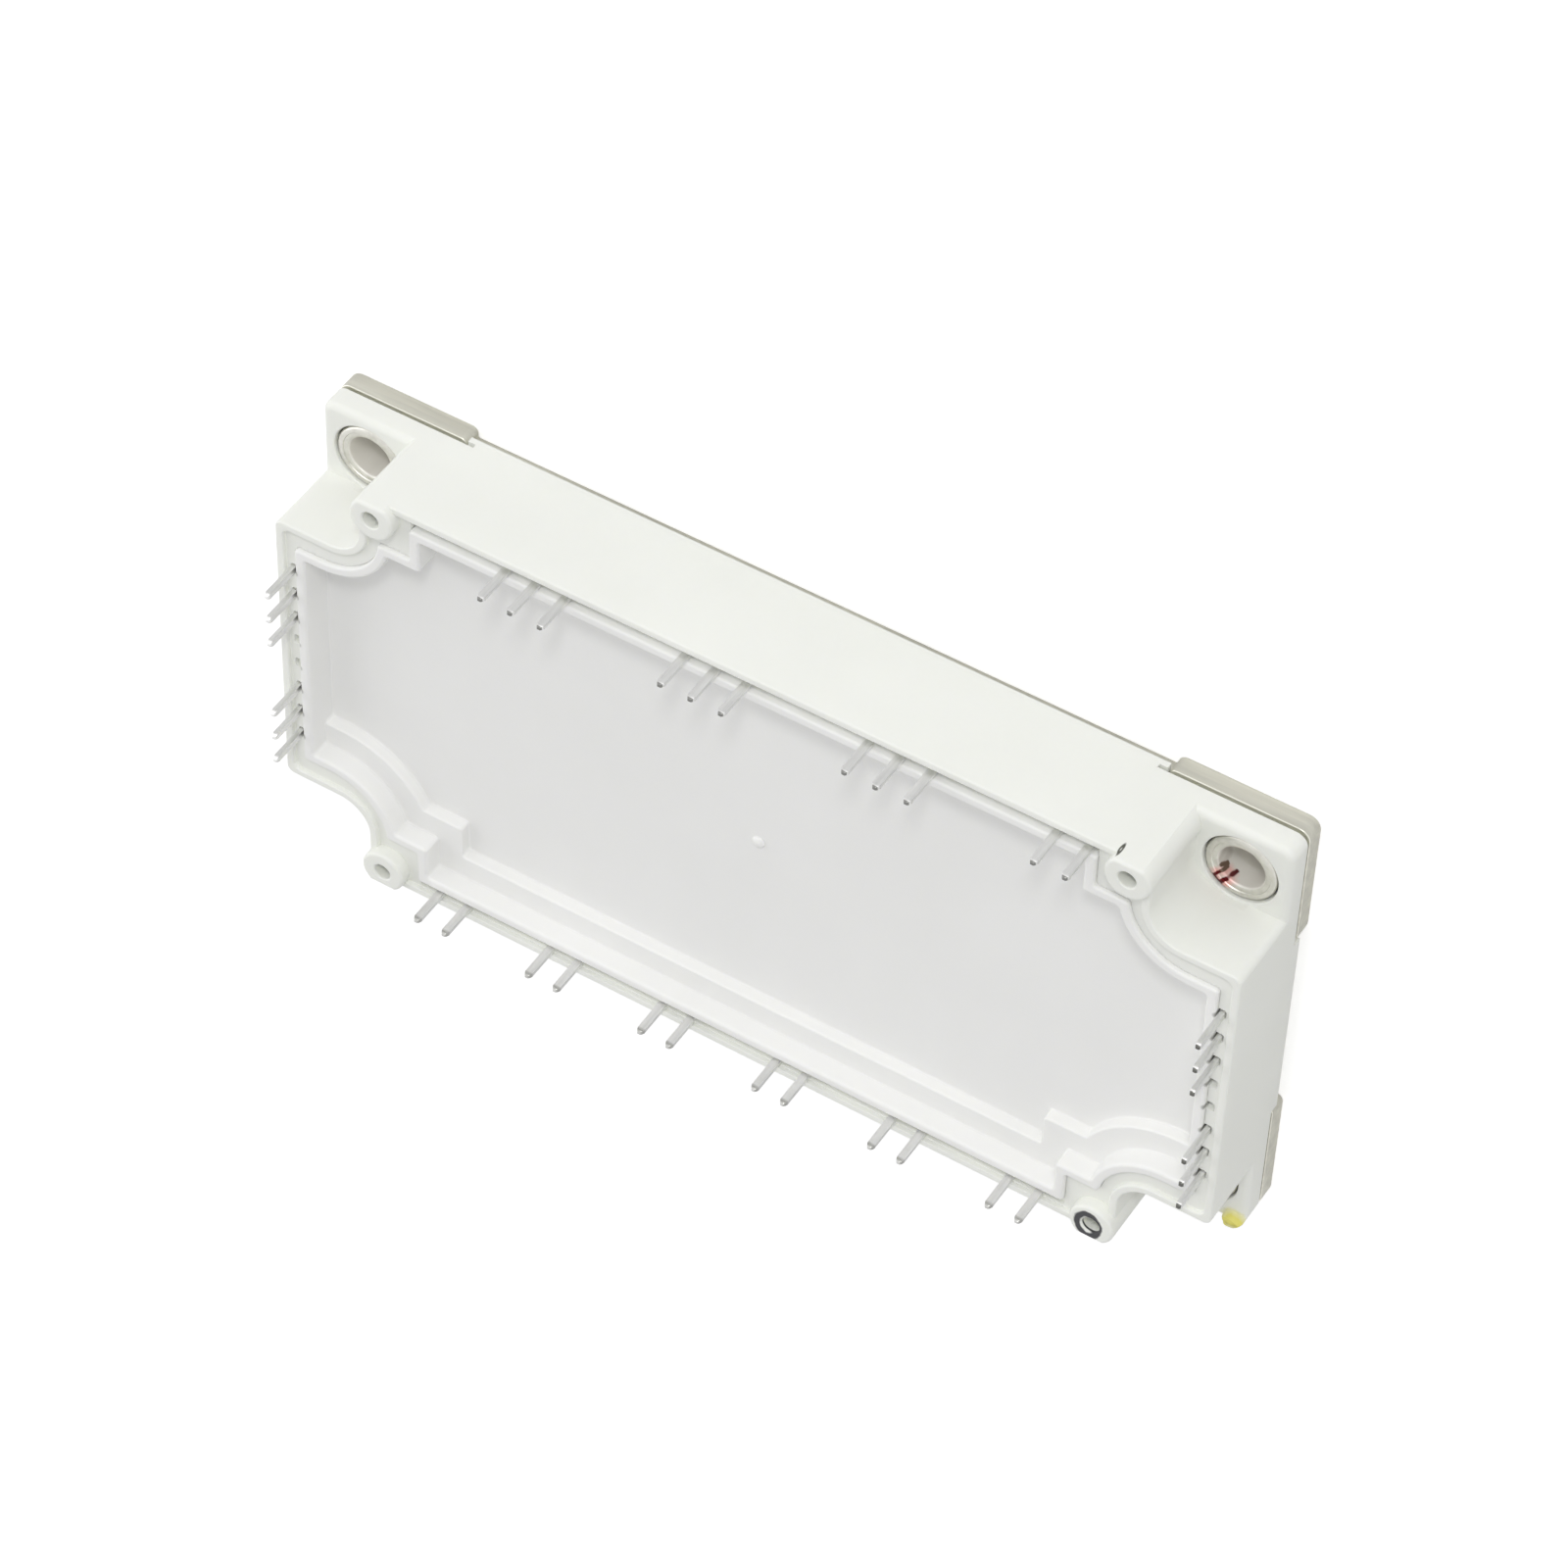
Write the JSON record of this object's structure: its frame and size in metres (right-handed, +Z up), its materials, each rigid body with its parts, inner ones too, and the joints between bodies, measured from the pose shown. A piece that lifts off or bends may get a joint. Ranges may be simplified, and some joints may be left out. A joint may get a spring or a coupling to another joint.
{
  "type": "igbt module",
  "caption": "Flat power transistor module: metal baseplate with corner screw holes, white moulded frame, recessed pale grey lid and solder pins standing along all sides.",
  "frame": {"origin": "centre of the baseplate's underside, which is the bottom centre of the whole part", "axes": "+X along the long side, +Y towards the long side whose pins stand in groups of three, +Z up, out of the lid"},
  "size_m": [0.122, 0.062, 0.0205],
  "materials": {
    "plate_nickel": "satin nickel plate on copper",
    "frame_plastic": "fine matt moulded ivory-white plastic",
    "lid_plastic": "fine matt moulded pale grey plastic",
    "silicone_gel": "clear soft gel",
    "bond_wire": "drawn bright wire",
    "thermistor_body": "dark ceramic body",
    "bush_metal": "turned, nickel plated",
    "copper": "plain copper",
    "ceramic": "white sintered ceramic",
    "silicon": "metallised chip",
    "tinned_pin": "satin tin plate on copper"
  },
  "bodies": {
    "root": {"baseplate": "plate_nickel", "frame": "frame_plastic", "lid": "lid_plastic", "gel": "silicone_gel", "bond_wires": "bond_wire", "thermistor": "thermistor_body", "bush_1": "bush_metal", "bush_2": "bush_metal", "bush_3": "bush_metal", "bush_4": "bush_metal", "bottom_copper_1": "copper", "bottom_copper_2": "copper", "bottom_copper_3": "copper", "ceramic_1": "ceramic", "ceramic_2": "ceramic", "ceramic_3": "ceramic", "top_copper_1": "copper", "top_copper_2": "copper", "top_copper_3": "copper", "igbt_chips_1": "silicon", "igbt_chips_2": "silicon", "igbt_chips_3": "silicon", "diode_chips_1": "silicon", "diode_chips_2": "silicon", "diode_chips_3": "silicon", "pin_front_1": "tinned_pin", "pin_front_2": "tinned_pin", "pin_front_3": "tinned_pin", "pin_front_4": "tinned_pin", "pin_front_5": "tinned_pin", "pin_front_6": "tinned_pin", "pin_front_7": "tinned_pin", "pin_front_8": "tinned_pin", "pin_front_9": "tinned_pin", "pin_front_10": "tinned_pin", "pin_front_11": "tinned_pin", "pin_front_12": "tinned_pin", "pin_back_1": "tinned_pin", "pin_back_2": "tinned_pin", "pin_back_3": "tinned_pin", "pin_back_4": "tinned_pin", "pin_back_5": "tinned_pin", "pin_back_6": "tinned_pin", "pin_back_7": "tinned_pin", "pin_back_8": "tinned_pin", "pin_back_9": "tinned_pin", "pin_back_10": "tinned_pin", "pin_back_11": "tinned_pin", "pin_left_1": "tinned_pin", "pin_left_2": "tinned_pin", "pin_left_3": "tinned_pin", "pin_left_4": "tinned_pin", "pin_left_5": "tinned_pin", "pin_left_6": "tinned_pin", "pin_right_1": "tinned_pin", "pin_right_2": "tinned_pin", "pin_right_3": "tinned_pin", "pin_right_4": "tinned_pin", "pin_right_5": "tinned_pin", "pin_right_6": "tinned_pin"}
  },
  "joints": []
}
